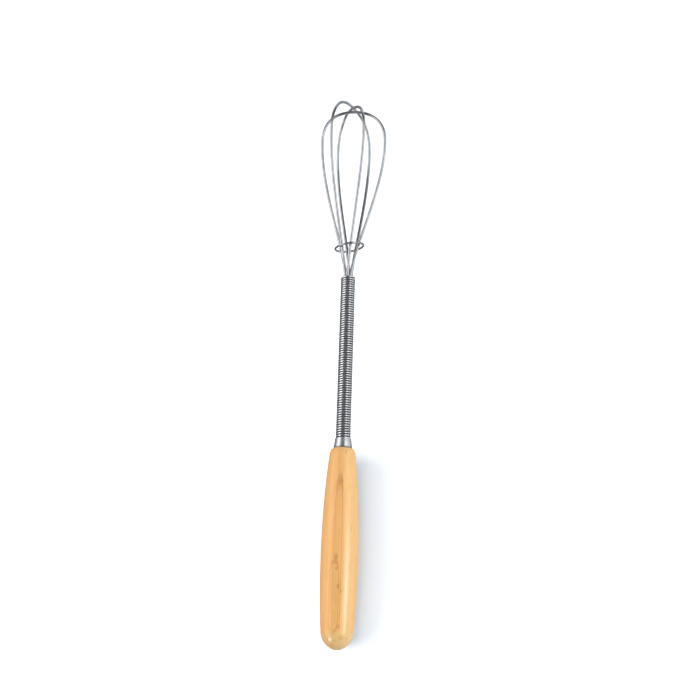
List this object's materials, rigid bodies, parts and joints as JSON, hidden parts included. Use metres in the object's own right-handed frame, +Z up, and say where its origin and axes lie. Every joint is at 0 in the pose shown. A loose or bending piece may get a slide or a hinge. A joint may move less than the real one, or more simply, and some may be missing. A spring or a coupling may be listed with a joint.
{
  "type": "whisk",
  "caption": "Small balloon whisk with a turned wooden handle, a conical metal collar, a wire-wrapped stem, bowed wire loops and a loose ring round the neck of the wires.",
  "frame": {"origin": "on the table under the middle of the whisk's bounding box, with the whisk lying on its handle and on its lowest balloon wires", "axes": "+Y from the butt of the handle towards the balloon, with the stem rising slightly along it; +Z up from the table; +X to the right of the whisk as seen from above with the balloon away"},
  "size_m": [0.025, 0.202, 0.0217],
  "materials": {
    "beech": "smooth turned beech, lightly oiled",
    "collar_chrome": "bright plated",
    "coil_steel": "bright drawn wire",
    "loop_steel": "bright drawn wire",
    "ring_steel": "bright drawn wire",
    "adhesive": "set adhesive"
  },
  "bodies": {
    "whisk": {"handle": "beech", "ferrule": "collar_chrome", "stem_coil": "coil_steel", "loop_wire_low": "loop_steel", "loop_wire_middle": "loop_steel", "loop_wire_top": "loop_steel", "bond_plug": "adhesive"},
    "ring": {"neck_ring": "ring_steel"}
  },
  "joints": [
    {"name": "ring_slide", "type": "slide", "parent": "whisk", "child": "ring", "axis": [0, 0.9996, 0.028], "range_m": [-0.0752, 0.001]}
  ]
}
